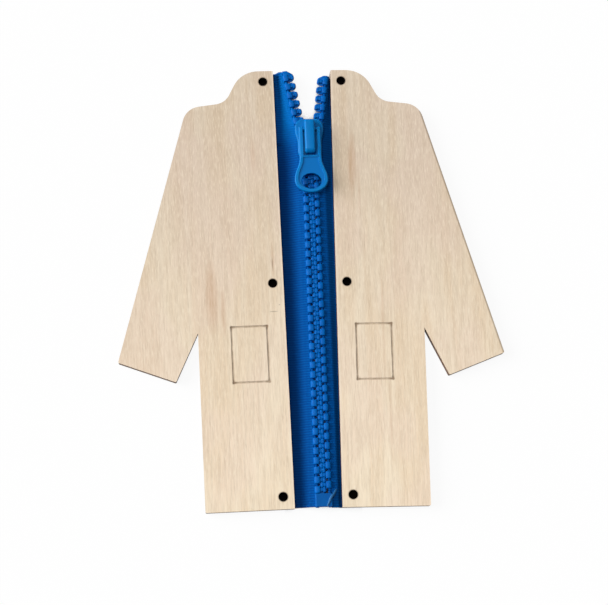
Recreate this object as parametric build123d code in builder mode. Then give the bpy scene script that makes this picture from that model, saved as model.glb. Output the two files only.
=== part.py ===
from build123d import *
import os
from math import acos, atan2, cos, hypot, radians, sin, tan

# A coat-shaped dressing board: two plywood coat halves joined by a moulded-tooth zip.
# Millimetres. The board lies on its back: +X to the right, +Y to the collar, +Z out of the front.
# A side is 1 on the right and -1 on the left. Heights called up are measured from the hem line,
# and those called down from the collar. Lengths called out are measured from the chain's axis,
# or from a coat half's inner edge. An open gap is that from a cord's end to the coat half's edge.

# ---- plywood coat halves ----
ply = 3.0
hem_gap = 15.7
splay = 0.84
hem_width = 29.3
armpit_out, armpit_up = 29.5, 59.9
cuff_inner_out, cuff_inner_up = 37.4, 43.6
cuff_outer_out, cuff_outer_up = 56.4, 51.0
shoulder_out, shoulder_up = 30.6, 139.2
neck_out, neck_up = 17.1, 140.7
collar_out, collar_up = 11.1, 152.0
collar_radius = 9.5
neck_radius = 6.0
shoulder_radius = 6.5
cut_corner_radius = 0.4
screw_hole = 3.1
screw_inset = 3.65
low_screw_up, middle_screw_up, high_screw_down = 4.1, 76.1, 3.9
pocket_width, pocket_height = 12.0, 18.9
pocket_out, pocket_up = 12.3, 52.0
engraved_line = 0.6
engraved_depth = 0.2

# ---- zip chain, cords and tapes ----
chain_offset = 1.8
pitch = 3.2
cord_out = 2.1
cord_diameter = 1.0
cord_clearance = 0.1
block_length = 2.1
block_height = 2.5
block_back = 0.8
block_chamfer = 0.35
head_reach = 0.95
head_width = 1.2
head_length = 1.75
head_height = 2.0
head_chamfer = 0.38
neck_width = 1.0
mate_gap = 0.1
tape_thickness = 0.4
tape_half_width = 17.2
tape_clearance = 0.05
tape_seam = 0.02
tape_foot_clearance = 0.03
tape_bend = 0.35
left_tape_down, right_tape_down = 0.1, 2.0
left_teeth_down, right_teeth_down = 1.2, 2.8
stop_base = 0.4
stop_length = 4.3
stop_height = 3.2
first_tooth_gap = 0.25

# ---- the opening of the rows at the slider ----
throat_length = 7.9
throat_lean = 32.0
bend_radius = 9.0
left_open_gap, right_open_gap = 3.8, 1.38

# ---- slider, crown, lock and pull ----
slider_down = 18.2
slider_length = 13.4
wing = 0.95
floor_gap = 0.05
channel_clearance = 0.15
side_clearance = 0.25
wedge_clearance = 0.2
slit_clearance = 0.3
flange = 0.95
shoulder_half = 4.85
shoulder_drop = 4.6
wing_top_radius = 2.8
wing_shoulder_radius = 1.6
wing_waist_radius = 3.0
wing_end_radius = 1.6
wing_edge = 0.3
crown_width = 3.6
crown_top_inset = 0.8
crown_end_inset = 0.5
crown_wall = 0.5
crown_post = 1.3
crown_roof = 0.6
crown_top_radius = 1.1
crown_end_radius = 1.7
crown_edge = 0.45
pivot_in = 4.0
bar_diameter = 1.3
bar_clearance = 0.15
pull_thickness = 1.6
pull_lay_clearance = 0.1
arm_outer, arm_inner = 3.8, 2.45
arm_length = 10.4
window_length = 9.8
ring_half_width = 5.72
ring_in = 18.3
ring_drop = 4.6
eye_half_width, eye_half_height = 3.5, 2.8
eye_in = 18.8
web_recess = 0.35
web_rim = 1.2
web_lip = 0.5
pull_edge = 0.3
leaf = 0.3
leaf_clearance = 0.1
leaf_lift = 0.2
pawl_in = 10.4
pawl_width = 0.8
pawl_depth = 0.3
pawl_slot_clearance = 0.2

# ---- sizes that follow ----
splay_cos, splay_sin = cos(radians(splay)), sin(radians(splay))
hem_y = -(collar_up * splay_cos - hem_width * splay_sin) / 2
slider_height = block_height + 2 * channel_clearance + 2 * wing
channel_half = slider_height / 2 - wing
chain_z = floor_gap + slider_height / 2
cord_radius = cord_diameter / 2
head_across = cord_out + head_reach
block_front = cord_out - head_reach - mate_gap
slider_up = collar_up - slider_down
fork_up = slider_up - throat_length
left_tape_up, right_tape_up = collar_up - left_tape_down, collar_up - right_tape_down
stop_top = stop_base + stop_length
left_first = stop_top + first_tooth_gap + block_length / 2
right_first = left_first + pitch / 2
bar_rise = slider_height / 2 + pull_lay_clearance + pull_thickness / 2
roof_rise = bar_rise + bar_diameter / 2 + leaf_lift + leaf
zip_plane = Plane(origin=(chain_offset, hem_y, chain_z))
slider_plane = Plane(origin=(chain_offset, hem_y + slider_up, chain_z))
slider_side = Plane(origin=slider_plane.origin, x_dir=(0, 1, 0), z_dir=(1, 0, 0))
pull_plane = Plane(origin=(chain_offset, hem_y + slider_up - pivot_in, chain_z + bar_rise))
pull_side = Plane(origin=pull_plane.origin, x_dir=(0, 1, 0), z_dir=(1, 0, 0))


# ---- the line that each cord follows ----
# straight up beside the chain's axis, outwards through the slider's throat, then back to the open lean
def inner_edge(up, side):
    """How far out a coat half's inner edge lies at a height."""
    return hem_gap / 2 + up * tan(radians(splay)) - side * chain_offset


def open_lean(side):
    """The lean, in radians, that brings a cord's cut end to its open gap from the coat half."""
    tape_up, gap = (left_tape_up, left_open_gap) if side < 0 else (right_tape_up, right_open_gap)
    throat = radians(throat_lean)
    reach = inner_edge(tape_up, side) - gap - cord_out - bend_radius * (1 - 2 * cos(throat))
    rise = tape_up - fork_up - 2 * bend_radius * sin(throat)
    return acos(bend_radius / hypot(reach, rise)) - atan2(rise, reach)


def cord_bends(side):
    """The lengths along a cord at which it bends outwards, bends back and runs straight again."""
    bend_back = fork_up + bend_radius * radians(throat_lean)
    return fork_up, bend_back, bend_back + bend_radius * (radians(throat_lean) - open_lean(side))


def cord_point(t, side):
    """A cord's distance out, its height up and its lean, at the length t along it."""
    start, middle, end = cord_bends(side)
    bent_out = min(max(t - start, 0), middle - start) / bend_radius
    lean = bent_out - min(max(t - middle, 0), end - middle) / bend_radius
    run = max(t - end, 0)
    out = cord_out + bend_radius * (1 + cos(lean) - 2 * cos(bent_out)) + run * sin(lean)
    up = min(t, start) + bend_radius * (2 * sin(bent_out) - sin(lean)) + run * cos(lean)
    return out, up, lean


def beside_cord(t, across, side):
    """A point beside a cord on the zip's plane, where across is positive towards the other row."""
    out, up, lean = cord_point(t, side)
    return side * (out - across * cos(lean)), up + across * sin(lean)


def cord_arc(t_from, t_to, across, side):
    """An arc beside a cord, between two lengths along one of its bends."""
    ends = [beside_cord(t, across, side) for t in (t_from, (t_from + t_to) / 2, t_to)]
    return ThreePointArc(*ends)


def cord_length(up, side):
    """The length along a cord at which its open end reaches a height."""
    bends_end = cord_bends(side)[2]
    out, bends_up, lean = cord_point(bends_end, side)
    return bends_end + (up - bends_up) / cos(lean)


# ---- coat halves ----
coat_plane = Plane(
    origin=(hem_gap / 2, hem_y, tape_thickness), x_dir=(splay_cos, -splay_sin, 0), z_dir=(0, 0, 1)
)
coat_front = coat_plane.offset(ply)

with BuildPart() as right_panel:
    with BuildSketch(coat_plane) as coat_outline:
        with BuildLine():
            Polyline(
                (0, 0),
                (hem_width, 0),
                (armpit_out, armpit_up),
                (cuff_inner_out, cuff_inner_up),
                (cuff_outer_out, cuff_outer_up),
                (shoulder_out, shoulder_up),
                (neck_out, neck_up),
                (collar_out, collar_up),
                (0, collar_up),
                close=True,
            )
        make_face()
        for out, up, radius in (
            (collar_out, collar_up, collar_radius),
            (neck_out, neck_up, neck_radius),
            (shoulder_out, shoulder_up, shoulder_radius),
            (0, collar_up, cut_corner_radius),
            (cuff_inner_out, cuff_inner_up, cut_corner_radius),
            (cuff_outer_out, cuff_outer_up, cut_corner_radius),
            (hem_width, 0, cut_corner_radius),
        ):
            fillet(coat_outline.vertices().sort_by_distance((out, up, 0))[0], radius=radius)
    extrude(amount=ply)
    with BuildSketch(coat_front):
        for up in (low_screw_up, middle_screw_up, collar_up - high_screw_down):
            with Locations((screw_inset, up)):
                Circle(screw_hole / 2)
    extrude(amount=-ply, mode=Mode.SUBTRACT)
    with BuildSketch(coat_front):
        with Locations((pocket_out, pocket_up)):
            Rectangle(pocket_width + engraved_line, pocket_height + engraved_line)
            Rectangle(pocket_width - engraved_line, pocket_height - engraved_line, mode=Mode.SUBTRACT)
    extrude(amount=-engraved_depth, mode=Mode.SUBTRACT)

with BuildPart() as left_panel:
    mirror(right_panel.part, about=Plane.YZ)


# ---- tapes, and the cords along their edges ----
def tape_section(up, crest, side):
    """A tape's section at a height: flat under the coat half, up a slope to its crest, then level."""
    half = tape_thickness / 2
    foot = inner_edge(up, side) - tape_foot_clearance - half
    mitre = half * tan(atan2(chain_z - half, foot - crest) / 2)
    section = Plane(origin=(chain_offset, hem_y + up, 0), x_dir=(side, 0, 0), z_dir=(0, -side, 0))
    with BuildSketch(section) as profile:
        with BuildLine():
            Polyline(
                (tape_half_width, 0),
                (foot - mitre, 0),
                (crest - mitre, chain_z - half),
                (0, chain_z - half),
                (0, chain_z + half),
                (crest + mitre, chain_z + half),
                (foot + mitre, tape_thickness),
                (tape_half_width, tape_thickness),
                close=True,
            )
        make_face()
    return profile.sketch


def make_tape(tape_up, side):
    """One woven tape, from its outer edge under the coat half to the seam beside its cord."""
    seam = -(cord_radius + tape_seam)
    bends = cord_bends(side)
    top = cord_length(tape_up, side)
    beside_slider = shoulder_half + tape_bend
    beside_teeth = block_back + tape_bend
    stations = (
        (0, beside_slider),
        (fork_up, beside_slider),
        (slider_up, cord_point(bends[2], side)[0] + beside_teeth),
        (tape_up, cord_point(top, side)[0] + beside_teeth),
    )
    profiles = [tape_section(up, crest, side) for up, crest in stations]
    with BuildPart() as tape:
        for lower, upper in zip(profiles, profiles[1:]):
            loft([lower, upper], ruled=True)
        with BuildSketch(zip_plane):
            with BuildLine():
                Line(beside_cord(0, seam, side), beside_cord(fork_up, seam, side))
                cord_arc(bends[0], bends[1], seam, side)
                cord_arc(bends[1], bends[2], seam, side)
                Line(beside_cord(bends[2], seam, side), beside_cord(top + pitch, seam, side))
                Polyline(
                    beside_cord(top + pitch, seam, side),
                    (side * 2 * tape_half_width, tape_up + pitch),
                    (side * 2 * tape_half_width, 0),
                    beside_cord(0, seam, side),
                )
            make_face()
        extrude(amount=slider_height, both=True, mode=Mode.INTERSECT)
    return tape


def make_cord(tape_up, side):
    """The cord woven into a tape's edge, eight strands round, which the teeth are moulded on."""
    bends = cord_bends(side)
    with BuildPart() as cord:
        with BuildLine(zip_plane):
            Line(beside_cord(0, 0, side), beside_cord(fork_up, 0, side))
            cord_arc(bends[0], bends[1], 0, side)
            cord_arc(bends[1], bends[2], 0, side)
            Line(beside_cord(bends[2], 0, side), beside_cord(cord_length(tape_up, side), 0, side))
        with BuildSketch(Plane(origin=(chain_offset + side * cord_out, hem_y, chain_z), z_dir=(0, 1, 0))):
            RegularPolygon(cord_radius, 8)
        sweep()
    return cord


left_tape = make_tape(left_tape_up, -1)
right_tape = make_tape(right_tape_up, 1)
left_cord = make_cord(left_tape_up, -1)
right_cord = make_cord(right_tape_up, 1)

# ---- teeth ----
# a block clamped round the cord, then a neck, and a head that locks between two opposite necks
bore_radius = (cord_radius + cord_clearance) / cos(radians(30))
slot_height = tape_thickness + 2 * tape_clearance


def cut_cord_way(centre, toward_tape):
    """The bore round a cord, and the slot that its tape leaves by."""
    with Locations((centre, 0)):
        RegularPolygon(bore_radius, 6, mode=Mode.SUBTRACT)
    with Locations((centre + toward_tape * block_back, 0)):
        Rectangle(2 * block_back, slot_height, mode=Mode.SUBTRACT)


with BuildPart() as tooth:
    with BuildSketch(Plane.XZ) as block:
        with Locations(((block_front - block_back) / 2, 0)):
            Rectangle(block_front + block_back, block_height)
        chamfer(block.vertices().group_by(Axis.X)[0], length=block_chamfer)
        cut_cord_way(0, -1)
    extrude(amount=block_length / 2, both=True)
    with BuildSketch(Plane.XY) as head:
        with Locations((head_across - head_width / 2, 0)):
            Rectangle(head_width, head_length)
        chamfer(head.vertices(), length=head_chamfer)
        neck_end = head_across - head_width / 2
        with Locations(((block_front + neck_end) / 2, 0)):
            Rectangle(neck_end - block_front, neck_width)
    extrude(amount=head_height / 2, both=True)


def tooth_places(first, teeth_down, side):
    """The length along the cord and the place of each tooth of a row."""
    room = cord_length(collar_up - teeth_down, side) - block_length / 2 - first
    count = int(room / pitch) + 1
    places = []
    for index in range(count):
        t = first + index * pitch
        out, up, lean = cord_point(t, side)
        origin = (chain_offset + side * out, hem_y + up, chain_z)
        place = Plane(origin=origin, x_dir=(-side * cos(lean), sin(lean), 0), z_dir=(0, 0, 1))
        places.append((t, place.location))
    return places


def make_row(first, teeth_down, side, is_open):
    """The teeth of one row: those of the closed chain, or those of its open top end."""
    places = tooth_places(first, teeth_down, side)
    with BuildPart() as row:
        with Locations(*[place for t, place in places if (t > fork_up) == is_open]):
            add(tooth.part)
    return row


left_teeth = make_row(left_first, left_teeth_down, -1, False)
right_teeth = make_row(right_first, right_teeth_down, 1, False)
left_top_teeth = make_row(left_first, left_teeth_down, -1, True)
right_top_teeth = make_row(right_first, right_teeth_down, 1, True)

# ---- bottom stop, moulded across both cords ----
stop_half = cord_out + block_back

with BuildPart() as bottom_stop:
    with BuildSketch(
        Plane(origin=(chain_offset, hem_y + stop_base, chain_z), x_dir=(-1, 0, 0), z_dir=(0, 1, 0))
    ) as stop_section:
        Rectangle(2 * stop_half, stop_height)
        chamfer(stop_section.vertices(), length=block_chamfer)
        cut_cord_way(-cord_out, -1)
        cut_cord_way(cord_out, 1)
    extrude(amount=stop_length)

# ---- slider body: two wings, the flanges along their sides, and the wedge between the rows ----
waist_half = stop_half + side_clearance + flange
waist_up = slider_up - throat_length
end_up = slider_up - slider_length
row_side = -(block_back + side_clearance)
wedge_side = head_across + wedge_clearance


def row_way(side):
    """The outline of the band that a row needs on its way through the slider."""
    start, middle, end = cord_bends(side)
    above = end + slider_length
    with BuildLine() as band:
        Line(beside_cord(0, row_side, side), beside_cord(start, row_side, side))
        cord_arc(start, middle, row_side, side)
        cord_arc(middle, end, row_side, side)
        Line(beside_cord(end, row_side, side), beside_cord(above, row_side, side))
        Line(beside_cord(above, row_side, side), beside_cord(above, wedge_side, side))
        Line(beside_cord(above, wedge_side, side), beside_cord(end, wedge_side, side))
        cord_arc(end, middle, wedge_side, side)
        cord_arc(middle, start, wedge_side, side)
        Line(beside_cord(start, wedge_side, side), beside_cord(0, wedge_side, side))
        Line(beside_cord(0, wedge_side, side), beside_cord(0, row_side, side))
    return band.edges()


with BuildSketch() as wing_plan:
    with BuildLine():
        Polyline(
            (0, slider_up),
            (shoulder_half, slider_up),
            (shoulder_half, slider_up - shoulder_drop),
            (waist_half, waist_up),
            (waist_half, end_up),
            (0, end_up),
        )
        mirror(about=Plane.YZ)
    make_face()
    for out, up, radius in (
        (shoulder_half, slider_up, wing_top_radius),
        (shoulder_half, slider_up - shoulder_drop, wing_shoulder_radius),
        (waist_half, waist_up, wing_waist_radius),
        (waist_half, end_up, wing_end_radius),
    ):
        for side in (-1, 1):
            fillet(wing_plan.vertices().sort_by_distance((side * out, up, 0))[0], radius=radius)

with BuildSketch() as wall_plan:
    add(wing_plan.sketch)
    for side in (-1, 1):
        make_face(row_way(side), mode=Mode.SUBTRACT)
        tip_out, tip_up = beside_cord(cord_bends(side)[1], row_side, side)
        with Locations((tip_out + side * shoulder_half, tip_up + slider_length / 2)):
            Rectangle(2 * shoulder_half, slider_length, mode=Mode.SUBTRACT)

with BuildPart() as slider_body:
    with BuildSketch(zip_plane.offset(-channel_half)):
        add(wall_plan.sketch)
    extrude(amount=2 * channel_half)
    with BuildSketch(zip_plane.offset(-slit_clearance - tape_thickness / 2)):
        for side in (-1, 1):
            with Locations((side * (stop_half + shoulder_half), slider_up)):
                Rectangle(2 * shoulder_half, 4 * slider_length)
    extrude(amount=2 * slit_clearance + tape_thickness, mode=Mode.SUBTRACT)
    for wing_bottom in (-slider_height / 2, channel_half):
        with BuildSketch(zip_plane.offset(wing_bottom)):
            add(wing_plan.sketch)
        extrude(amount=wing)
    wing_faces = slider_body.faces().filter_by(Axis.Z).sort_by(Axis.Z)
    chamfer([wing_faces[0].outer_wire().edges(), wing_faces[-1].outer_wire().edges()], length=wing_edge)
    with BuildSketch(slider_plane.offset(slider_height / 2)):
        with Locations((0, -pawl_in)):
            Rectangle(pawl_width + 2 * pawl_slot_clearance, leaf + 2 * pawl_slot_clearance)
    extrude(amount=-wing, mode=Mode.SUBTRACT)

# ---- crown: the cap that holds the pull's bar and covers the lock ----
crown_top, crown_end = -crown_top_inset, crown_end_inset - slider_length
cavity_top, cavity_end = crown_top - crown_post, crown_end + crown_post
cavity_half = crown_width / 2 - crown_wall

with BuildPart() as slider_crown:
    with BuildSketch(slider_side):
        with Locations(((crown_top + crown_end) / 2, (slider_height / 2 + roof_rise + crown_roof) / 2)):
            crown_rise = roof_rise + crown_roof - slider_height / 2
            Rectangle(crown_top - crown_end, crown_rise)
    extrude(amount=crown_width / 2, both=True)
    roof = slider_crown.faces().sort_by(Axis.Z)[-1]
    ends = roof.edges().filter_by(Axis.X).sort_by(Axis.Y)
    fillet(ends[-1], radius=crown_top_radius)
    ends = slider_crown.edges().filter_by(Axis.X).group_by(Axis.Z)[-1].sort_by(Axis.Y)
    fillet(ends[0], radius=crown_end_radius)
    roof = slider_crown.faces().filter_by(Axis.Z).sort_by(Axis.Z)[-1]
    chamfer(roof.edges().filter_by(Axis.Y), length=crown_edge)
    with BuildSketch(slider_side):
        with Locations(((cavity_top + cavity_end) / 2, (slider_height / 2 + roof_rise) / 2)):
            Rectangle(cavity_top - cavity_end, roof_rise - slider_height / 2)
    extrude(amount=cavity_half, both=True, mode=Mode.SUBTRACT)
    with BuildSketch(slider_side):
        slot_rise = bar_rise + bar_diameter / 2 + bar_clearance - slider_height / 2
        with Locations((-pivot_in, (slider_height + slot_rise) / 2)):
            Rectangle(bar_diameter + 2 * bar_clearance, slot_rise)
    extrude(amount=crown_width, both=True, mode=Mode.SUBTRACT)

# ---- lock spring: a leaf against the crown's roof, with a pawl that reaches through the wing ----
with BuildPart() as lock_spring:
    leaf_top, leaf_end = cavity_top - leaf_clearance, -pawl_in - leaf / 2
    with BuildSketch(slider_side):
        with Locations(((leaf_top + leaf_end) / 2, roof_rise - leaf / 2)):
            Rectangle(leaf_top - leaf_end, leaf)
    extrude(amount=cavity_half - leaf_clearance, both=True)
    pawl_tip = channel_half - pawl_depth
    with BuildSketch(slider_side):
        with Locations((-pawl_in, (roof_rise + pawl_tip) / 2)):
            Rectangle(leaf, roof_rise - pawl_tip)
    extrude(amount=pawl_width / 2, both=True)

# ---- pull: a bar between two arms, a window, a recessed web and an oval eye ----
def pull_plan(inset):
    """The pull's outline, or the outline inside a rim: straight arms that flare into a round end."""
    with BuildSketch() as plan:
        with BuildLine():
            arm = Line((arm_outer - inset, pull_thickness), (arm_outer - inset, -arm_length))
            widest = (ring_half_width - inset, -ring_in)
            Spline(arm @ 1, widest, tangents=((0, -1), (0, -1)))
            EllipticalCenterArc((0, -ring_in), widest[0], ring_drop - inset, start_angle=270, arc_size=90)
            Line((0, pull_thickness), arm @ 0)
            mirror(about=Plane.YZ)
        make_face()
    return plan.sketch


with BuildSketch() as web_plan:
    add(pull_plan(web_rim))
    with Locations((0, -window_length - web_lip - ring_in)):
        Rectangle(4 * ring_half_width, 2 * ring_in, mode=Mode.INTERSECT)

with BuildPart() as pull_tab:
    with BuildSketch(pull_plane.offset(-pull_thickness / 2)):
        add(pull_plan(0))
    extrude(amount=pull_thickness)
    pull_faces = pull_tab.faces().filter_by(Axis.Z).sort_by(Axis.Z)
    rims = [face.outer_wire().edges().filter_by(Axis.X, reverse=True) for face in pull_faces]
    chamfer(rims, length=pull_edge)
    with BuildSketch(pull_side):
        with BuildLine():
            half = pull_thickness / 2
            Polyline((0, half), (-2 * ring_in, half), (-2 * ring_in, -half), (0, -half))
            CenterArc((0, 0), half, start_angle=-90, arc_size=180)
        make_face()
    extrude(amount=2 * ring_half_width, both=True, mode=Mode.INTERSECT)
    with BuildSketch(pull_plane.offset(-pull_thickness)):
        with Locations((0, pull_thickness / 2 - window_length / 2)):
            Rectangle(2 * arm_inner, window_length + pull_thickness)
        with Locations((0, -eye_in)):
            Ellipse(eye_half_width, eye_half_height)
    extrude(amount=2 * pull_thickness, mode=Mode.SUBTRACT)
    for web_face in (-pull_thickness, pull_thickness / 2 - web_recess):
        with BuildSketch(pull_plane.offset(web_face)):
            add(web_plan.sketch)
        extrude(amount=pull_thickness / 2 + web_recess, mode=Mode.SUBTRACT)
    with BuildSketch(pull_side):
        Circle(bar_diameter / 2)
    extrude(amount=(arm_inner + arm_outer) / 2, both=True)

pieces = {
    "left_panel": left_panel,
    "right_panel": right_panel,
    "left_tape": left_tape,
    "right_tape": right_tape,
    "left_cord": left_cord,
    "right_cord": right_cord,
    "left_teeth": left_teeth,
    "right_teeth": right_teeth,
    "left_top_teeth": left_top_teeth,
    "right_top_teeth": right_top_teeth,
    "bottom_stop": bottom_stop,
    "slider_body": slider_body,
    "slider_crown": slider_crown,
    "lock_spring": lock_spring,
    "pull_tab": pull_tab,
}

os.makedirs("parts", exist_ok=True)
for name, piece in pieces.items():
    piece.part.label = name
    export_step(piece.part, f"parts/{name}.step")
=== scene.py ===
from math import acos, atan2, cos, hypot, pi, radians, sin, tan

import bmesh
import bpy
from mathutils import Matrix, Vector


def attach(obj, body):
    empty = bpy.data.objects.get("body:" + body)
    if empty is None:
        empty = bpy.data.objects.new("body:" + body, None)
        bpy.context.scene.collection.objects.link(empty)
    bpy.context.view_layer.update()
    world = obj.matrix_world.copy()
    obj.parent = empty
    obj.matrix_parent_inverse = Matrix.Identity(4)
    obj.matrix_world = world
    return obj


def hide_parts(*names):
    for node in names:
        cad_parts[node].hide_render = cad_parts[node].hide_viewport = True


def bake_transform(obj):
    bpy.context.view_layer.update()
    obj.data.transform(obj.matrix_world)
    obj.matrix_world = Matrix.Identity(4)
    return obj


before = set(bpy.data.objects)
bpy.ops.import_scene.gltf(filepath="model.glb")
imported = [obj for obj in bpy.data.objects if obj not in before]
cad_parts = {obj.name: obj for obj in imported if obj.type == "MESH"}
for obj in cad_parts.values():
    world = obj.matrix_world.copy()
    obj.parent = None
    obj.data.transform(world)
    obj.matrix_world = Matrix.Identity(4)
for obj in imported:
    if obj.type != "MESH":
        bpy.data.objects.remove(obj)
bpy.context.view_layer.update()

# A coat-shaped dressing board: two plywood coat halves joined by a moulded-tooth zip.
# Sizes are in millimetres, and each mesh is scaled to metres once its shape is done.
# A side is 1 on the right and -1 on the left.
mm = 0.001

# ---- coat halves ----
ply = 3.0
hem_gap = 15.7
splay = radians(0.84)
hem_width = 29.3
collar_up = 152.0
screw_hole = 3.1
screw_inset = 3.65
screw_ups = (4.1, 76.1, 148.1)
pocket_out, pocket_up = 12.3, 52.0
pocket_width, pocket_height = 12.0, 18.9
hem_y = -(collar_up * cos(splay) - hem_width * sin(splay)) / 2

# ---- zip ----
chain_offset = 1.8
chain_z = 2.4
pitch = 3.2
cord_out = 2.1
cord_radius = 0.55
cord_sides, cord_side_width, cord_step = 12, 0.26, 0.8
cord_start, cord_short = 0.15, 0.1
fork_lap = 0.6
block_length, block_height, block_back, block_front = 2.3, 2.5, 0.8, 1.05
head_across, head_width, head_length, head_height = 3.05, 1.2, 1.92, 2.0
head_chamfer = 0.45
neck_width, neck_height, wing_height = 1.22, 1.92, 0.4
head_slot, wing_half, wing_reach = 0.56, 1.38, 2.25
core_half_width, core_half_height = 0.18, 0.4
block_edge, block_shoulder, neck_edge, head_rim = 0.2, 0.7, 0.12, 0.28
neck_root = block_front - 0.3
stub_height, stub_edge = 1.7, 0.15
tooth_room = 2.1
tape_thickness = 0.4
tape_half_width = 17.2
rib_pitch, warp_pitch, rib_height, rib_room = 0.85, 0.42, 0.03, 0.08
throat = radians(32.0)
bend_radius = 9.0
slider_up = 133.8
fork_up = slider_up - 7.9
pull_z, pull_rim = 5.65, 0.8
tape_ups = {-1: 151.9, 1: 150.0}
teeth_ups = {-1: 150.8, 1: 149.2}
open_gaps = {-1: 3.8, 1: 1.38}
first_teeth = {-1: 6.0, 1: 7.6}
names = {-1: "left", 1: "right"}

# where a tape's climb starts, how much of it comes late (1 is an even slope) and where it ends
foot_gap = 0.25
sag = {-1: 2.3, 1: 1.1}
crest_z, crest_gap = 2.1, 0.3
least_crests = {-1: 4.5, 1: 4.8}
open_lift, lift_length = 0.7, 6
seam_z, seam_gap = chain_z + 0.1, 0.02
least_slope, least_crest = 0.5, 0.3

# a tape's grid, the share of it that is glued straight, where it bends and its cut at the hem
tape_columns, tape_row, edge_packing = 34, 0.34, 1.35
glued_share = 0.45
bend_gap, bend_z = 0.1, chain_z + 0.2
cut_ups = {-1: 0.4, 1: 0.0}


def inner_edge(up, side):
    """How far out from the chain's axis a coat half's inner edge lies at a height."""
    return hem_gap / 2 + up * tan(splay) - side * chain_offset


def open_lean(side):
    """The lean at which a cord runs on above the slider."""
    reach = inner_edge(tape_ups[side], side) - open_gaps[side] - cord_out
    reach -= bend_radius * (1 - 2 * cos(throat))
    rise = tape_ups[side] - fork_up - 2 * bend_radius * sin(throat)
    return acos(bend_radius / hypot(reach, rise)) - atan2(rise, reach)


def cord_bends(side):
    """The lengths along a cord at which it bends outwards, bends back and runs straight again."""
    bend_back = fork_up + bend_radius * throat
    return fork_up, bend_back, bend_back + bend_radius * (throat - open_lean(side))


def cord_point(t, side):
    """A cord's distance out, its height up and its lean, at the length t along it."""
    start, middle, end = cord_bends(side)
    bent_out = min(max(t - start, 0), middle - start) / bend_radius
    lean = bent_out - min(max(t - middle, 0), end - middle) / bend_radius
    run = max(t - end, 0)
    out = cord_out + bend_radius * (1 + cos(lean) - 2 * cos(bent_out)) + run * sin(lean)
    up = min(t, start) + bend_radius * (2 * sin(bent_out) - sin(lean)) + run * cos(lean)
    return out, up, lean


def cord_length(up, side):
    """The length along a cord at which its open end reaches a height."""
    bends_end = cord_bends(side)[2]
    out, bends_up, lean = cord_point(bends_end, side)
    return bends_end + (up - bends_up) / cos(lean)


def on_cord(t, side):
    """The place on a cord at the length t along it, turned to its lean."""
    out, up, lean = cord_point(t, side)
    spot = Matrix.Translation((chain_offset + side * out, hem_y + up, chain_z))
    return spot @ Matrix.Rotation(-side * lean, 4, "Z")


def screw_centre(hole_up):
    """How far out from the board's middle line, and how far along Y, a screw hole lies."""
    out = hem_gap / 2 + screw_inset * cos(splay) + hole_up * sin(splay)
    return out, hem_y - screw_inset * sin(splay) + hole_up * cos(splay)


# ---- finishes ----
class Value:
    """A number that changes over a surface, which takes part in sums as a plain number does."""

    def __init__(self, finish, socket):
        self.finish = finish
        self.socket = socket

    def sum(self, operation, first, second):
        return self.finish.value("ShaderNodeMath", {"operation": operation}, {0: first, 1: second})

    def __add__(self, other):
        return self.sum("ADD", self, other)

    def __radd__(self, other):
        return self.sum("ADD", other, self)

    def __sub__(self, other):
        return self.sum("SUBTRACT", self, other)

    def __rsub__(self, other):
        return self.sum("SUBTRACT", other, self)

    def __mul__(self, other):
        return self.sum("MULTIPLY", self, other)

    def __rmul__(self, other):
        return self.sum("MULTIPLY", other, self)

    def __truediv__(self, other):
        return self.sum("DIVIDE", self, other)

    def __pow__(self, other):
        return self.sum("POWER", self, other)

    def __abs__(self):
        return self.sum("ABSOLUTE", self, 0.0)

    def high(self, other):
        return self.sum("MAXIMUM", self, other)

    def low(self, other):
        return self.sum("MINIMUM", self, other)

    def wave(self):
        return self.sum("SINE", self, 0.0)

    def ramp(self, low, high):
        """0 up to low, 1 from high, and smooth between them."""
        return self.finish.value(
            "ShaderNodeMapRange",
            {"interpolation_type": "SMOOTHSTEP"},
            {"Value": self, "From Min": low, "From Max": high},
        )


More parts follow.
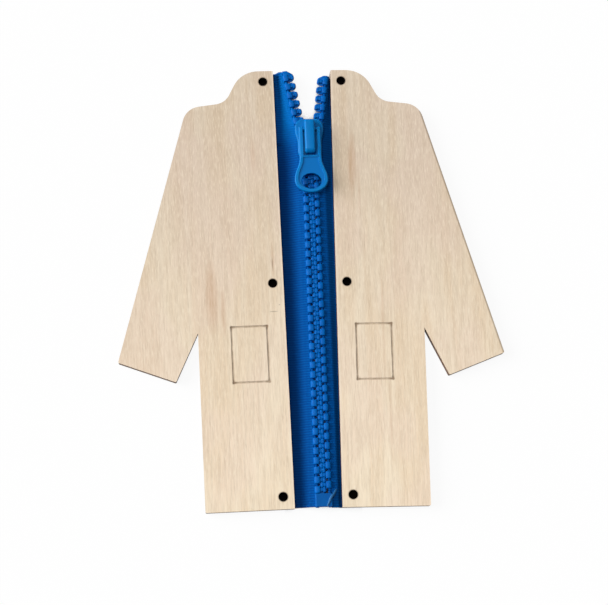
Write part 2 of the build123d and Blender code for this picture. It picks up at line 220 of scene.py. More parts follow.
class Finish:
    """A material that is put together node by node."""

    def __init__(self, name):
        self.material = bpy.data.materials.new(name)
        self.material.use_nodes = True
        self.tree = self.material.node_tree
        self.tree.nodes.clear()

    def node(self, kind, settings=(), inputs=()):
        """A node of a kind, with its settings first and then its values and links."""
        made = self.tree.nodes.new(kind)
        for name, setting in dict(settings).items():
            setattr(made, name, setting)
        for place, given in dict(inputs).items():
            if isinstance(given, Value):
                given = given.socket
            if isinstance(given, bpy.types.NodeSocket):
                self.tree.links.new(given, made.inputs[place])
            else:
                made.inputs[place].default_value = given
        return made

    def value(self, kind, settings=(), inputs=(), output=0):
        return Value(self, self.node(kind, settings, inputs).outputs[output])

    def place(self, turn=0.0, shift=(0, 0, 0), stretch=(1, 1, 1), attribute=None):
        """Where a point of the surface lies, in millimetres, turned, shifted and then stretched."""
        if attribute:
            source = self.node("ShaderNodeAttribute", {"attribute_name": attribute}).outputs["Vector"]
            scale = (1, 1, 1)
        else:
            source = self.node("ShaderNodeTexCoord").outputs["Object"]
            scale = (1000, 1000, 1000)
        turned = self.node(
            "ShaderNodeMapping",
            inputs={"Vector": source, "Scale": scale, "Rotation": (0, 0, turn), "Location": shift},
        )
        if tuple(stretch) == (1, 1, 1):
            return turned.outputs[0]
        return self.node(
            "ShaderNodeMapping", inputs={"Vector": turned.outputs[0], "Scale": stretch}
        ).outputs[0]

    def axes(self, vector):
        parts = self.node("ShaderNodeSeparateXYZ", inputs={0: vector})
        return [Value(self, parts.outputs[index]) for index in range(3)]

    def noise(self, vector, scale=1.0, detail=2.0, roughness=0.5, distortion=0.0):
        return self.value(
            "ShaderNodeTexNoise",
            inputs={
                "Vector": vector,
                "Scale": scale,
                "Detail": detail,
                "Roughness": roughness,
                "Distortion": distortion,
            },
        )

    def mix(self, factor, first, second):
        """The first colour where the factor is 0, and the second where it is 1."""
        return self.node(
            "ShaderNodeMix", {"data_type": "RGBA"}, {0: factor, 6: first, 7: second}
        ).outputs[2]

    def bump(self, height, distance, strength=1.0):
        return self.node(
            "ShaderNodeBump", inputs={"Height": height, "Distance": distance * mm, "Strength": strength}
        ).outputs[0]

    def finish(self, **inputs):
        """The surface's shader and its output, from socket names written with underscores."""
        named = {place.replace("_", " "): given for place, given in inputs.items()}
        shader = self.node("ShaderNodeBsdfPrincipled", inputs=named)
        self.node("ShaderNodeOutputMaterial", inputs={"Surface": shader.outputs[0]})
        return self.material


def paint(red, green, blue):
    """A colour from its everyday 0 to 255 values."""
    parts = [part / 255 for part in (red, green, blue)]
    return (*[p / 12.92 if p < 0.04045 else ((p + 0.055) / 1.055) ** 2.4 for p in parts], 1.0)


def nearest(spots):
    """The distance to the nearest of several spots, from how far aside and away each one lies."""
    apart = [(aside * aside + away * away) ** 0.5 for aside, away in spots]
    least = apart[0]
    for other in apart[1:]:
        least = least.low(other)
    return least


def birch(side, streaks, ticks, shadow_rims=()):
    """Birch ply of one coat half: upright grain, brown streaks, burnt cut edges and pocket lines, and
    painted light and shade.
    """
    wood = Finish(f"birch_{names[side]}")
    origin = Vector((side * hem_gap / 2, hem_y, 0))
    turn = side * splay
    shift = -(Matrix.Rotation(turn, 3, "Z") @ origin)

    def board(*stretch):
        """A point's place on the half, from its inner hem corner, with its sides along X and Y."""
        return wood.place(turn, shift, stretch or (1, 1, 1))

    across, up, deep = wood.axes(board())
    out = across * side
    facing = wood.node("ShaderNodeNewGeometry").outputs["True Normal"]
    on_face = abs(wood.axes(facing)[2]).ramp(0.4, 0.6)

    def patch(middle_out, middle_up, half_width, half_length, drift=0.0):
        """1 in the middle of an oval patch, and 0 from its rim outwards."""
        aside = (out + drift - middle_out) / half_width
        along = (up - middle_up) / half_length
        return (1.0 - (aside * aside + along * along)).high(0.0)

    # broad bands of early and late wood, fine fibres and short pores
    bands = wood.noise(board(0.16, 0.012, 0.3), 1.0, 3.0, 0.55, 0.6)
    fibres = wood.noise(board(1.5, 0.1, 1.0), 1.0, 4.0, 0.62, 0.2)
    threads = wood.noise(board(4.0, 0.42, 3.0), 1.0, 2.0, 0.6)
    pores = wood.noise(board(3.2, 0.22, 2.0), 1.0, 1.0, 0.5).ramp(0.58, 0.76)
    cloud = wood.noise(board(0.05, 0.03, 0.05), 1.0, 2.0, 0.5)

    # three tones of veneer, each lighter at the hem than at the collar
    climbed = up.ramp(0.0, collar_up)
    pale = wood.mix(climbed, paint(242, 225, 198), paint(216, 199, 177))
    warm = wood.mix(climbed, paint(236, 214, 184), paint(209, 188, 162))
    rosy = wood.mix(climbed, paint(238, 216, 193), paint(212, 190, 172))
    colour = wood.mix(bands.ramp(0.36, 0.64), pale, warm)
    colour = wood.mix(cloud.ramp(0.42, 0.62) * 0.6, colour, rosy)
    colour = wood.mix(fibres.ramp(0.34, 0.7) * 0.32, colour, paint(184, 162, 134))
    colour = wood.mix((1.0 - threads.ramp(0.34, 0.52)) * 0.3, colour, paint(248, 235, 213))
    colour = wood.mix(pores * 0.14, colour, paint(158, 128, 98))

    # brown streaks that wander with the grain, and small dark ticks: each is how far out and up
    # it lies, half its width and length, and its depth
    wander = (bands - 0.5) * 3.0
    for *oval, depth in streaks:
        colour = wood.mix(patch(*oval, wander) * (fibres * 1.8) * depth, colour, paint(188, 144, 106))
    for *oval, depth in ticks:
        colour = wood.mix(patch(*oval) * depth, colour, paint(110, 84, 66))

    # painted shadow on the rims where the half's shadow falls, in a scorch's brown: two points of a cut,
    # then the width and depth of the shadow
    for (start_out, start_up), (end_out, end_up), rim, depth in shadow_rims:
        run_out, run_up = end_out - start_out, end_up - start_up
        length = hypot(run_out, run_up)
        inside = abs((up - start_up) * (run_out / length) - (out - start_out) * (run_up / length))
        colour = wood.mix((1.0 - inside.ramp(rim * 0.3, rim)) * depth, colour, paint(112, 94, 72))

    # painted highlight: a pale strip along the inner edge, where the edge catches the light
    colour = wood.mix((1.0 - out.ramp(0.1, 0.9)) * 0.45, colour, paint(244, 228, 212))

    # the laser's pocket lines, burnt deepest at their corners, and the browned rims of the screw holes
    past_width = abs(out - pocket_out) - pocket_width / 2
    past_height = abs(up - pocket_up) - pocket_height / 2
    near_pocket = (1.0 - past_width.ramp(0.2, 0.7)) * (1.0 - past_height.ramp(0.2, 0.7))
    line = (1.0 - abs(past_width).low(abs(past_height)).ramp(0.12, 0.5)) * near_pocket
    corner = (1.0 - (abs(past_width) + abs(past_height)).ramp(0.4, 1.9)) * near_pocket
    burn = wood.noise(board(0.7, 0.35, 1), 1.0, 2.0).ramp(0.25, 0.7)
    groove = line * (0.24 + 0.26 * burn) + corner * 0.3
    colour = wood.mix(groove.low(1.0), colour, paint(112, 82, 50))
    hole = screw_hole / 2
    to_screw = nearest([(out - screw_inset, up - hole_up) for hole_up in screw_ups])
    colour = wood.mix((1.0 - to_screw.ramp(hole, hole + 0.4)) * 0.5, colour, paint(70, 48, 36))

    # cut edges: three plies, the middle one darker because it runs across, browned by the laser
    layer = (deep - tape_thickness) / ply
    middle = 1.0 - abs(layer - 0.5).ramp(0.15, 0.185)
    soot = wood.noise(board(0.5, 0.5, 2.5), 1.0, 3.0, 0.6)
    cut = wood.mix(middle, paint(132, 98, 70), paint(84, 58, 42))
    cut = wood.mix(soot.ramp(0.35, 0.75) * 0.6, cut, paint(58, 40, 30))
    glue = (1.0 - abs(abs(layer - 0.5) - 0.167).ramp(0.008, 0.02)) * 0.6
    cut = wood.mix(glue, cut, paint(40, 28, 22))
    # the screw holes' walls are painted near-black: laser browning deepened by painted shade inside the
    # holes
    cut = wood.mix(1.0 - to_screw.ramp(hole + 0.1, hole + 0.3), cut, paint(16, 10, 8))
    colour = wood.mix(on_face, cut, colour)

    grain = fibres * 0.6 + threads * 0.4 - pores * 0.5
    return wood.finish(
        Base_Color=colour,
        Roughness=0.58 + 0.14 * fibres,
        Specular_IOR_Level=0.35,
        Normal=wood.bump(grain, 0.05, 0.6),
    )


def woven(name, tone, deep_tone):
    """Polyester tape: cross ribs with warp threads between them, read from the tape's own attribute."""
    cloth = Finish(name)
    across, along = cloth.axes(cloth.place(attribute="weave"))[:2]
    rib = (along * (2 * pi / rib_pitch)).wave() * 0.5 + 0.5
    warp = (across * (2 * pi / warp_pitch)).wave() * 0.5 + 0.5
    slub = cloth.noise(cloth.place(attribute="weave", stretch=(0.6, 1.6, 1)), 1.0, 2.0, 0.6)
    fuzz = cloth.noise(cloth.place(attribute="weave", stretch=(7, 7, 1)), 1.0, 2.0, 0.6)
    height = rib * 0.6 + warp * rib * 0.4
    # painted shade: the valleys between the ribs and threads take the deep tone, and the crests the lighter
    # tone
    colour = cloth.mix(height, deep_tone, tone)
    colour = cloth.mix(slub.ramp(0.3, 0.75) * 0.3, colour, deep_tone)
    colour = cloth.mix(fuzz.ramp(0.55, 0.8) * 0.12, colour, paint(0, 116, 200))

    # painted shadow: the left tape is painted darker beside its coat half, where the half's shadow falls,
    # and painted light makes it brighter where it is pulled open at the top
    right, ahead = cloth.axes(cloth.place())[:2]
    up = ahead - hem_y
    inside = hem_gap / 2 + up * tan(splay) + right
    painted_half_shadow = (1.0 - inside.ramp(2.0, 8.0)) * (1.0 - up.ramp(118, 136))
    colour = cloth.mix(painted_half_shadow * 0.58, colour, paint(0, 34, 90))
    # painted light on the left tape's open arm
    painted_open_light = inside.ramp(1.6, 3.2) * up.ramp(122, 134) * (1.0 - right.ramp(-2, 0))
    colour = cloth.mix(painted_open_light * 0.55, colour, paint(0, 112, 192))

    # painted shade: the tape under each screw hole is painted near-black, where the deep hole keeps the
    # light out
    centres = [screw_centre(hole_up) for hole_up in screw_ups]
    to_screw = nearest([(abs(right) - centre_out, ahead - centre_y) for centre_out, centre_y in centres])
    shaded_radius = screw_hole / 2 + 0.15
    colour = cloth.mix(1.0 - to_screw.ramp(shaded_radius, shaded_radius + 0.3), colour, paint(10, 4, 4))
    return cloth.finish(
        Base_Color=colour,
        Roughness=0.72 + 0.14 * fuzz,
        Specular_IOR_Level=0.05,
        Normal=cloth.bump(height + fuzz * 0.25, 0.09, 0.7),
    )


def moulded(name, tone, deep_tone, shine=0.34):
    """Moulded plastic: a satin skin with a faint flow pattern."""
    plastic = Finish(name)
    flow = plastic.noise(plastic.place(stretch=(0.5, 0.25, 0.5)), 1.0, 2.0, 0.5)
    skin = plastic.noise(plastic.place(), 3.5, 3.0, 0.6)
    colour = plastic.mix(flow.ramp(0.35, 0.7) * 0.5, tone, deep_tone)
    colour = plastic.mix(skin.ramp(0.5, 0.8) * 0.12, colour, paint(10, 140, 222))
    return plastic.finish(
        Base_Color=colour,
        Roughness=shine + 0.12 * skin,
        Specular_IOR_Level=0.07,
        Normal=plastic.bump(skin, 0.02, 0.5),
    )


def lacquered(name, tone, deep_tone, hollow=None):
    """Paint on cast zinc: a coat with darker pools, and painted shade that darkens the web where a piece is
    hollowed.
    """
    paintwork = Finish(name)
    pool = paintwork.noise(paintwork.place(), 0.35, 2.0, 0.5)
    peel = paintwork.noise(paintwork.place(), 2.6, 2.0, 0.5)
    colour = paintwork.mix(pool.ramp(0.35, 0.7) * 0.4, tone, deep_tone)
    colour = paintwork.mix(peel.ramp(0.6, 0.8) * 0.15, colour, paint(50, 160, 225))
    # painted shade: a hollowed piece's sunken web takes the deep tone, and its raised rim the lighter colour
    if hollow:
        middle, rim = hollow
        deep = paintwork.axes(paintwork.place())[2]
        raised = abs(deep - middle).ramp(rim - 0.3, rim - 0.05)
        colour = paintwork.mix(raised, deep_tone, colour)
    return paintwork.finish(
        Base_Color=colour,
        Roughness=0.3 + 0.12 * peel,
        Specular_IOR_Level=0.09,
        Coat_Weight=0.03,
        Coat_Roughness=0.2,
        Normal=paintwork.bump(peel, 0.03, 0.4),
    )


def spring_steel():
    """Cold-rolled spring leaf: bare metal, brushed along its length."""
    steel = Finish("spring_steel")
    brushed = steel.noise(steel.place(stretch=(14, 1.2, 14)), 1.0, 2.0, 0.6)
    return steel.finish(
        Base_Color=steel.mix(brushed, paint(150, 152, 156), paint(196, 198, 202)),
        Metallic=1.0,
        Roughness=0.26 + 0.2 * brushed,
        Normal=steel.bump(brushed, 0.01, 0.5),
    )


def twisted_thread():
    """The thread that has come loose at the hem, paler than the tape."""
    thread = Finish("loose_thread")
    twist = thread.noise(thread.place(stretch=(3, 3, 3)), 1.0, 2.0, 0.5)
    return thread.finish(
        Base_Color=thread.mix(twist, paint(0, 84, 140), paint(34, 104, 158)),
        Roughness=0.6 + 0.2 * twist,
        Normal=thread.bump(twist, 0.05, 0.6),
    )


left_birch = birch(
    -1,
    streaks=[
        (24.6, 72, 2.6, 14, 0.4),
        (20.6, 67, 1.2, 10, 0.35),
        (8.4, 121, 0.9, 8, 0.25),
        (3.4, 84, 0.6, 7, 0.35),
    ],
    ticks=[(3.45, 82.8, 0.3, 3.0, 0.5), (3.77, 66.3, 1.7, 0.24, 0.45), (1.7, 68.6, 0.28, 0.3, 0.4)],
)
right_birch = birch(
    1,
    streaks=[
        (6.6, 118, 1.3, 13, 0.42),
        (8.4, 108, 0.8, 12, 0.25),
        (15.5, 62, 0.7, 26, 0.2),
        (17, 30, 0.7, 22, 0.2),
    ],
    ticks=[],
    # painted shadow along the right sleeve's outer edge, where the half's shadow falls
    shadow_rims=[((56.4, 51.0), (30.6, 139.2), 0.75, 0.62)],
)
tape_blue = woven("zip_tape", paint(0, 92, 170), paint(0, 68, 140))
cord_blue = woven("tape_cord", paint(0, 84, 160), paint(0, 64, 134))
teeth_blue = moulded("moulded_teeth", paint(0, 95, 176), paint(0, 84, 164))
stop_blue = moulded("moulded_stop", paint(0, 86, 160), paint(0, 74, 148), 0.45)
slider_blue = lacquered("slider_lacquer", paint(0, 113, 184), paint(0, 98, 168))
pull_blue = lacquered("pull_lacquer", paint(0, 116, 186), paint(0, 106, 180), hollow=(pull_z, pull_rim))
steel_finish = spring_steel()
thread_blue = twisted_thread()


# ---- making pieces ----
def piece(name, form, finish, body, stands_for=(), crease=35):
    """An object from a bmesh in millimetres, riding on a body."""
    bmesh.ops.scale(form, verts=form.verts, vec=(mm, mm, mm))
    mesh = bpy.data.meshes.new(name)
    form.to_mesh(mesh)
    form.free()
    made = bpy.data.objects.new(name, mesh)
    bpy.context.scene.collection.objects.link(made)
    mesh.materials.append(finish)
    mesh.shade_smooth()
    if crease:
        mesh.set_sharp_from_angle(angle=radians(crease))
    if body:
        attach(made, body)
    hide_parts(*stands_for)
    return made


def cad_form(node):
    """A merged copy of a CAD node's mesh, in millimetres, with its flat faces whole again."""
    form = bmesh.new()
    form.from_mesh(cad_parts[node].data)
    bmesh.ops.scale(form, verts=form.verts, vec=(1 / mm,) * 3)
    bmesh.ops.remove_doubles(form, verts=form.verts, dist=0.004)
    bmesh.ops.dissolve_limit(form, angle_limit=radians(1.5), verts=form.verts, edges=form.edges)
    bmesh.ops.recalc_face_normals(form, faces=form.faces)
    return form


def round_edges(made, width, segments=3, angle=30):
    """A live bevel on a piece's sharp edges."""
    bevel = made.modifiers.new("rounded", "BEVEL")
    bevel.width = width * mm
    bevel.segments = segments
    bevel.limit_method = "ANGLE"
    bevel.angle_limit = radians(angle)
    bevel.use_clamp_overlap = True
    bevel.harden_normals = False
    return made


def dress(node, finish):
    """A CAD node that is shown as it is, in a finish of its own."""
    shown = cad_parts[node]
    shown.data.materials.clear()
    shown.data.materials.append(finish)
    return shown


def next_ring(form, edges):
    """Extrudes a ring of edges where it is, and gives the new ring's vertices and edges."""
    grown = bmesh.ops.extrude_edge_only(form, edges=edges)["geom"]
    ring = [part for part in grown if isinstance(part, bmesh.types.BMVert)]
    return ring, [part for part in grown if isinstance(part, bmesh.types.BMEdge)]


# ---- the coat halves, as they were cut ----
dress("left_panel", left_birch)
dress("right_panel", right_birch)


# ---- tapes ----
def tape_rise(out, up, side, t):
    """The height of a tape's middle layer above the table, from its foot beside the wood to its cord."""
    cord = cord_point(t, side)[0]
    past_bend = t - cord_bends(side)[1]
    crest = cord + block_back + crest_gap
    if past_bend < 0:
        crest = max(crest, least_crests[side])
    elif side < 0:
        crest += open_lift * min(past_bend / lift_length, 1.0)
    if out > crest:
        half = tape_thickness / 2
        foot = inner_edge(up, side) - foot_gap
        climbed = min(max((foot - out) / max(foot - crest, least_slope), 0.0), 1.0)
        return half + (crest_z - half) * climbed ** sag[side]
    climbed = min((crest - out) / max(crest - cord - cord_radius, least_crest), 1.0)
    return crest_z + (seam_z - crest_z) * climbed


def strand(name, places, radius, sides=8):
    """A loose thread: a thin tube swept ring by ring through a few places, thinner at its ends."""
    form = bmesh.new()
    ring = bmesh.ops.create_circle(form, cap_ends=True, segments=sides, radius=radius)["verts"]
    edges = list(form.edges)
    last = Matrix.Identity(4)
    for index, spot in enumerate(places):
        ahead = places[min(index + 1, len(places) - 1)] - places[max(index - 1, 0)]
        turned = ahead.to_track_quat("Z", "Y").to_matrix().to_4x4()
        taper = 0.3 + 0.7 * sin(pi * ((index + 0.5) / len(places)) ** 0.7)
        here = Matrix.Translation(spot) @ turned @ Matrix.Scale(taper, 4)
        if index:
            ring, edges = next_ring(form, edges)
        bmesh.ops.transform(form, matrix=here @ last.inverted(), verts=ring)
        last = here
    bmesh.ops.holes_fill(form, edges=form.edges, sides=sides)
    bmesh.ops.recalc_face_normals(form, faces=form.faces)
    return piece(name, form, thread_blue, "root", crease=60)


# the thread comes out of the right tape, climbs the stop and lies across it to the hem
thread_places = (
    (6.1, 6.1, 2.15),
    (5.75, 5.4, 2.5),
    (5.35, 4.7, 3.05),
    (4.9, 4.1, 3.7),
    (4.3, 3.6, 4.12),
    (3.85, 2.7, 4.14),
    (3.4, 1.7, 4.1),
    (2.95, 0.75, 4.1),
    (2.75, 0.3, 4.08),
)
loose_thread = strand("loose_thread", [Vector((x, hem_y + up, z)) for x, up, z in thread_places], 0.5)


def weft_up(t, inward, seam_up, side):
    """How far up a point of a weft thread lies: level where it is glued, and led by its cord beyond."""
    if t <= fork_up:
        return t
    top = tape_ups[side]
    level = fork_up + (t - fork_up) / (cord_length(top, side) - fork_up) * (top - fork_up)
    up = level + (seam_up - level) * max(inward - glued_share, 0) / (1 - glued_share)
    return min(up, top - 0.05)


def tape_piece(name, side, t_from, t_to):
    """A stretch of tape as a gridded sheet, ribbed across, from under the coat half to its cord's seam."""
    length = t_to - t_from
    rows = max(int(length / tape_row), 8)
    seam_reach = cord_radius + seam_gap
    form = bmesh.new()
    bmesh.ops.create_grid(form, x_segments=tape_columns, y_segments=rows, size=1.0)
    weave = form.verts.layers.float_vector.new("weave")
    for point in form.verts:
        inward = point.co.x / 2 + 0.5
        t = t_from + (point.co.y / 2 + 0.5) * length
        cord, cord_up, lean = cord_point(t, side)
        seam = cord + seam_reach * cos(lean)
        out = tape_half_width + (seam - tape_half_width) * (1 - (1 - inward) ** edge_packing)
        up = weft_up(t, inward, cord_up - seam_reach * sin(lean), side)
        rise = tape_rise(out, up, side, t)
        if rise > tape_thickness * 0.75:
            rise += rib_height * sin(2 * pi * t / rib_pitch)
        point[weave] = (tape_half_width - out, t, 0)
        point.co = Vector((chain_offset + side * out, hem_y + up, rise))
    bmesh.ops.recalc_face_normals(form, faces=form.faces)
    if sum(face.normal.z for face in form.faces) < 0:
        bmesh.ops.reverse_faces(form, faces=form.faces)
    made = piece(name, form, tape_blue, None, [f"{names[side]}_tape"], crease=0)
    cloth = made.modifiers.new("cloth", "SOLIDIFY")
    cloth.thickness = (tape_thickness - rib_room) * mm
    cloth.offset = 0.0
    width = tape_half_width - cord_point((t_from + t_to) / 2, side)[0]
    width * mm
    length * mm
    return made


# below the fork a tape runs between its coat half and its row, and above it along the row's open end
for side in (-1, 1):
    name = names[side]
    ends = cord_length(tape_ups[side], side)
    edge_x = chain_offset + side * (inner_edge(0, side) - bend_gap)
    inner_x = chain_offset + side * (cord_out + block_back)
    lower = tape_piece(f"{name}_tape_lower", side, cut_ups[side], fork_up + fork_lap)
    edge_x * mm
    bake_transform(lower)
    upper = tape_piece(f"{name}_tape_upper", side, fork_up - fork_lap, ends)
    lean = open_lean(side)
    fork_y = hem_y + fork_up
    span = abs(inner_x - edge_x) * cos(lean)
    edge_x * mm
    (edge_x - side * span * cos(lean)) * mm
    (fork_y + span * sin(lean)) * mm
    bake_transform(upper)


# ---- cords ----
def cord_piece(name, side, t_from, t_to, body):
    """A stretch of the cord in a tape's edge, extruded ring by ring along its line."""
    steps = max(int((t_to - t_from) / cord_step), 4)
    form = bmesh.new()
    weave = form.verts.layers.float_vector.new("weave")
    ring = bmesh.ops.create_circle(form, cap_ends=False, segments=cord_sides, radius=cord_radius)["verts"]
    bmesh.ops.rotate(form, verts=ring, cent=(0, 0, 0), matrix=Matrix.Rotation(pi / 2, 3, "X"))
    edges = list(form.edges)
    last = Matrix.Identity(4)
    for step in range(steps + 1):
        t = t_from + (t_to - t_from) * step / steps
        here = on_cord(t, side)
        if step:
            ring, edges = next_ring(form, edges)
        bmesh.ops.transform(form, matrix=here @ last.inverted(), verts=ring)
        for index, vert in enumerate(ring):
            vert[weave] = (index * cord_side_width, t, 0)
        last = here
    bmesh.ops.holes_fill(form, edges=form.edges, sides=cord_sides)
    bmesh.ops.recalc_face_normals(form, faces=form.faces)
    return piece(name, form, cord_blue, body, [f"{names[side]}_cord"], crease=50)


for side in (-1, 1):
    name = names[side]
    ends = cord_length(tape_ups[side], side)
    cord_piece(f"{name}_cord_lower", side, cord_start, fork_up + fork_lap, f"{name}_row")
    cord_piece(f"{name}_cord_upper", side, fork_up - fork_lap, ends - cord_short, f"{name}_row_end")


# ---- teeth ----
def rounded(form, edges, width, segments):
    """Rounds some edges of a form."""
    bmesh.ops.bevel(
        form,
        geom=edges,
        offset=width,
        offset_type="OFFSET",
        segments=segments,
        profile=0.5,
        affect="EDGES",
        material=-1,
        clamp_overlap=True,
    )


def add_to(form, part):
    """Puts a part into a form."""
    made = bpy.data.meshes.new("part")
    part.to_mesh(made)
    part.free()
    form.from_mesh(made)
    bpy.data.meshes.remove(made)


def box(low, high):
    """A box between two corners."""
    part = bmesh.new()
    bmesh.ops.create_cube(part, size=1.0)
    bmesh.ops.scale(part, verts=part.verts, vec=Vector(high) - Vector(low))
    bmesh.ops.translate(part, verts=part.verts, vec=(Vector(low) + Vector(high)) / 2)
    return part


def add_block(form, low, high, edges=0.0, segments=2, shoulder=0.0):
    """Adds a box with rounded edges to a form, with rounder shoulders along its -X side."""
    part = box(low, high)
    if shoulder:
        back = [
            edge
            for edge in part.edges
            if all(abs(vert.co.x - low[0]) < 1e-4 for vert in edge.verts)
            and abs(edge.verts[0].co.y - edge.verts[1].co.y) > 1e-4
        ]
        rounded(part, back, shoulder, 3)
    if edges:
        sharp = [edge for edge in part.edges if edge.calc_face_angle(0) > radians(40)]
        rounded(part, sharp, edges, segments)
    add_to(form, part)


def tooth_form():
    """One tooth on the origin: a block round the cord, a winged neck, and a slotted head towards +X."""
    form = bmesh.new()
    half, tall = block_length / 2, block_height / 2
    low, high = (-block_back, -half, -tall), (block_front, half, tall)
    add_block(form, low, high, block_edge, shoulder=block_shoulder)
    half, tall = neck_width / 2, neck_height / 2
    low, high = (neck_root, -half, -tall), (head_across - head_width / 2, half, tall)
    add_block(form, low, high, neck_edge, 1)

    # thin wings beside the neck, which the slots in the other row's heads close over
    tall = wing_height / 2
    add_block(form, (neck_root, -wing_half, -tall), (wing_reach, wing_half, tall))
    for level in (-1, 1):
        outer = level * head_height / 2
        near, far = sorted((level * head_slot / 2, outer))
        half = head_length / 2
        head = box((head_across - head_width, -half, near), (head_across, half, far))
        upright = [edge for edge in head.edges if abs(edge.verts[0].co.z - edge.verts[1].co.z) > 0.1]
        rounded(head, upright, head_chamfer, 1)
        rim = [edge for edge in head.edges if all(abs(vert.co.z - outer) < 1e-4 for vert in edge.verts)]
        rounded(head, rim, head_rim, 2)
        add_to(form, head)

    # the core that joins the head's two halves
    add_block(
        form,
        (head_across - head_width + 0.1, -core_half_width, -core_half_height),
        (head_across - 0.15, core_half_width, core_half_height),
    )
    return form


tooth_mesh = bpy.data.meshes.new("tooth")
tooth = tooth_form()
tooth.to_mesh(tooth_mesh)
tooth.free()


def tooth_places(side):
    """The lengths along a cord at which its teeth sit."""
    room = cord_length(teeth_ups[side], side) - tooth_room / 2 - first_teeth[side]
    return [first_teeth[side] + index * pitch for index in range(int(room / pitch) + 1)]


def tooth_seat(t, side):
    """The place on a cord that a tooth is moved to, with its head towards the other row."""
    return on_cord(t, side) @ Matrix.Diagonal((-side, 1, 1, 1))


def row_of_teeth(name, side, is_open, body, node):
    """The closed or the open teeth of one row, each turned to its cord's lean."""
    form = bmesh.new()
    for t in tooth_places(side):
        if (t > fork_up) != is_open:
            continue
        start = len(form.verts)
        form.from_mesh(tooth_mesh)
        form.verts.ensure_lookup_table()
        bmesh.ops.transform(form, matrix=tooth_seat(t, side), verts=form.verts[start:])
    bmesh.ops.recalc_face_normals(form, faces=form.faces)
    return piece(name, form, teeth_blue, body, [node], crease=50)


for side in (-1, 1):
    name = names[side]
    row_of_teeth(f"{name}_row_teeth", side, False, f"{name}_row", f"{name}_teeth")
    row_of_teeth(f"{name}_row_end_teeth", side, True, f"{name}_row_end", f"{name}_top_teeth")

bpy.data.meshes.remove(tooth_mesh)


def cut_tooth(name, side, body):
    """What the shears left of the next tooth: a wedge from the last whole tooth to the tape's end."""
    last = tooth_places(side)[-1]
    rise = cord_length(tape_ups[side], side) - last
    outline = (
        (-0.5, rise),
        (1.0, rise - 0.1),
        (head_across - 0.15, 0.95),
        (head_across - 0.5, 0.3),
        (-0.5, 0.3),
    )
    form = bmesh.new()
    lower = form.faces.new([form.verts.new((x, y, -stub_height / 2)) for x, y in outline])
    raised = bmesh.ops.extrude_face_region(form, geom=[lower])["geom"]
    raised = [part for part in raised if isinstance(part, bmesh.types.BMVert)]
    bmesh.ops.translate(form, verts=raised, vec=(0, 0, stub_height))
    bmesh.ops.recalc_face_normals(form, faces=form.faces)
    rounded(form, list(form.edges), stub_edge, 2)
    bmesh.ops.transform(form, matrix=tooth_seat(last, side), verts=form.verts)
    bmesh.ops.recalc_face_normals(form, faces=form.faces)
    return piece(name, form, teeth_blue, body, crease=40)


for side in (-1, 1):
    cut_tooth(f"{names[side]}_cut_tooth", side, f"{names[side]}_row_end")


# ---- stop, slider, crown, pull and the lock's leaf ----
def softened(name, node, finish, body, width, segments=3, angle=30):
    """A CAD node's shape with its sharp edges rounded, shown in the node's place."""
    return round_edges(piece(name, cad_form(node), finish, body, [node]), width, segments, angle)


softened("moulded_bottom_stop", "bottom_stop", stop_blue, "root", 0.25)
softened("slider_wings", "slider_body", slider_blue, "slider", 0.12, 2)
softened("slider_cap", "slider_crown", slider_blue, "slider", 0.28, 3, 25)
softened("pull", "pull_tab", pull_blue, "pull", 0.16)
dress("lock_spring", steel_finish)

# ---- table, lamps and camera: the floor's own sizes are in metres ----
floor_half, floor_drop = 3.0, 0.00015
paper_share = 0.08
nook_reach, chain_reach = 5.0, 12.0


def table_top():
    """White paper that stays white to the eye, takes a faint shadow, and has painted shade, a dark navy, in
    the chain's gaps.
    """
    table = Finish("table")
    light_path = table.node("ShaderNodeLightPath")
    seen = Value(table, light_path.outputs["Is Camera Ray"])
    seen = seen.high(Value(table, light_path.outputs["Is Glossy Ray"]))
    seen = seen.high(Value(table, light_path.outputs["Is Transmission Ray"]))
    nook = table.value("ShaderNodeAmbientOcclusion", {"samples": 8}, {"Distance": nook_reach * mm}, output=1)
    from_chain = abs(table.axes(table.place())[0] - chain_offset)
    bright = nook.ramp(0.3, 0.55).high(from_chain.ramp(chain_reach, chain_reach + 1))
    tone = table.mix(bright, (0.001, 0.004, 0.016, 1), (1, 1, 1, 1))
    white = table.node("ShaderNodeEmission", inputs={"Color": tone, "Strength": 1.0}).outputs[0]
    paper = table.node("ShaderNodeBsdfDiffuse", inputs={"Color": (0.9, 0.9, 0.9, 1)}).outputs[0]
    mostly_white = table.node("ShaderNodeMixShader", inputs={0: paper_share, 1: white, 2: paper}).outputs[0]
    ground = table.node("ShaderNodeMixShader", inputs={0: seen, 1: paper, 2: mostly_white}).outputs[0]
    table.node("ShaderNodeOutputMaterial", inputs={"Surface": ground})
    return table.material


form = bmesh.new()
bmesh.ops.create_grid(form, x_segments=1, y_segments=1, size=floor_half)
bmesh.ops.translate(form, verts=form.verts, vec=(0, 0, -floor_drop))
floor_mesh = bpy.data.meshes.new("floor")
form.to_mesh(floor_mesh)
form.free()
floor = bpy.data.objects.new("floor", floor_mesh)
floor_mesh.materials.append(table_top())
bpy.context.scene.collection.objects.link(floor)

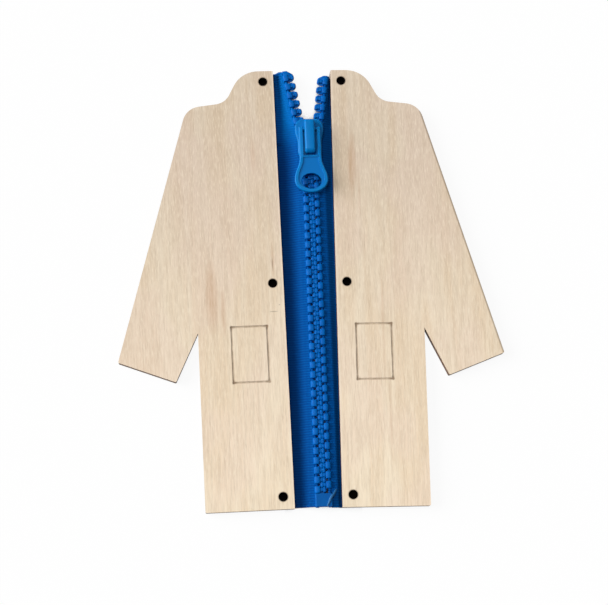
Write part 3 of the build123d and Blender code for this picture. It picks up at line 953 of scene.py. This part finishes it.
# a dim sky that lights the board, and looks white behind it
world = bpy.data.worlds.new("studio")
bpy.context.scene.world = world
world.use_nodes = True
sky = world.node_tree
sky.nodes.clear()
rays = sky.nodes.new("ShaderNodeLightPath")
dim = sky.nodes.new("ShaderNodeBackground")
dim.inputs["Color"].default_value = (0.95, 0.97, 1.0, 1)
dim.inputs["Strength"].default_value = 0.13
bright = sky.nodes.new("ShaderNodeBackground")
bright.inputs["Color"].default_value = (1, 1, 1, 1)
choose = sky.nodes.new("ShaderNodeMixShader")
end = sky.nodes.new("ShaderNodeOutputWorld")
sky.links.new(rays.outputs["Is Camera Ray"], choose.inputs[0])
sky.links.new(dim.outputs[0], choose.inputs[1])
sky.links.new(bright.outputs[0], choose.inputs[2])
sky.links.new(choose.outputs[0], end.inputs[0])


def lamp(name, toward, strength, softness):
    """A soft distant lamp that shines from a direction."""
    light = bpy.data.lights.new(name, "SUN")
    light.energy = strength
    light.angle = radians(softness)
    made = bpy.data.objects.new(name, light)
    made.rotation_mode = "QUATERNION"
    made.rotation_quaternion = Vector(toward).to_track_quat("Z", "Y")
    made.location = Vector(toward) * 0.5
    bpy.context.scene.collection.objects.link(made)


# a low key lamp from the left shades the tapes beside the wood, and a fill from above evens the wood
lamp("key", (-0.87, 0.2, 0.43), 4.2, 50)
lamp("fill", (-0.2, 0.1, 1.0), 1.08, 20)

# the camera stands off the front, a little below and beside the middle of the board
focal_px, frame_px = 1479.4129, 608
camera_distance = 500.0
pitch_down, pan, roll = radians(12.0), radians(3.439), radians(1.4596)
track = Vector((4.0188, -68.9979, 0))
swing = Matrix.Rotation(pitch_down, 4, "X") @ Matrix.Rotation(-pan, 4, "Y")
level_out = Matrix.Rotation(-roll, 4, "Z")
spot = level_out @ (swing @ Vector((0, 0, camera_distance)) - track)
spot += Vector((0, hem_y, tape_thickness + ply))
lens = bpy.data.cameras.new("camera")
lens.sensor_fit = "HORIZONTAL"
lens.sensor_width = 36.0
lens.lens = focal_px / frame_px * 36.0
lens.clip_start = 0.01
camera = bpy.data.objects.new("camera", lens)
camera.matrix_world = Matrix.Translation(spot * mm) @ level_out @ swing
bpy.context.scene.collection.objects.link(camera)
bpy.context.scene.camera = camera
bpy.context.scene.view_settings.view_transform = "Standard"
